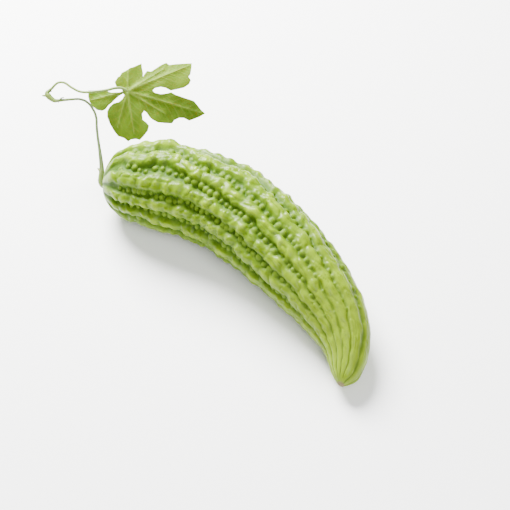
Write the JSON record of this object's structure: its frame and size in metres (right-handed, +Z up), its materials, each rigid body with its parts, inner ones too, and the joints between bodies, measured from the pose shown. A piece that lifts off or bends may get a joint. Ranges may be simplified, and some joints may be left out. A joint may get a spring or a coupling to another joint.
{
  "type": "bitter gourd",
  "caption": "Curved, ribbed and warted bitter gourd lying on its side, with its stalk, a cut knot of the vine and one lobed leaf.",
  "frame": {"origin": "on the flat spot that the fruit lies on, in the plane of the floor, under the middle of the fruit", "axes": "+Z up from the floor, +X along the fruit from its stalk end to its blossom tip, +Y to the outside of its bend"},
  "size_m": [0.2942, 0.1033, 0.0759],
  "materials": {
    "gourd_skin": "waxy green skin, satin",
    "stalk_skin": "grey-green, matt",
    "knot_skin": "yellow-green, matt",
    "leaf_skin": "green leaf, matt"
  },
  "bodies": {
    "root": {"fruit": "gourd_skin", "fruit_stalk": "stalk_skin", "vine_knot": "knot_skin", "leaf": "leaf_skin"}
  },
  "joints": []
}
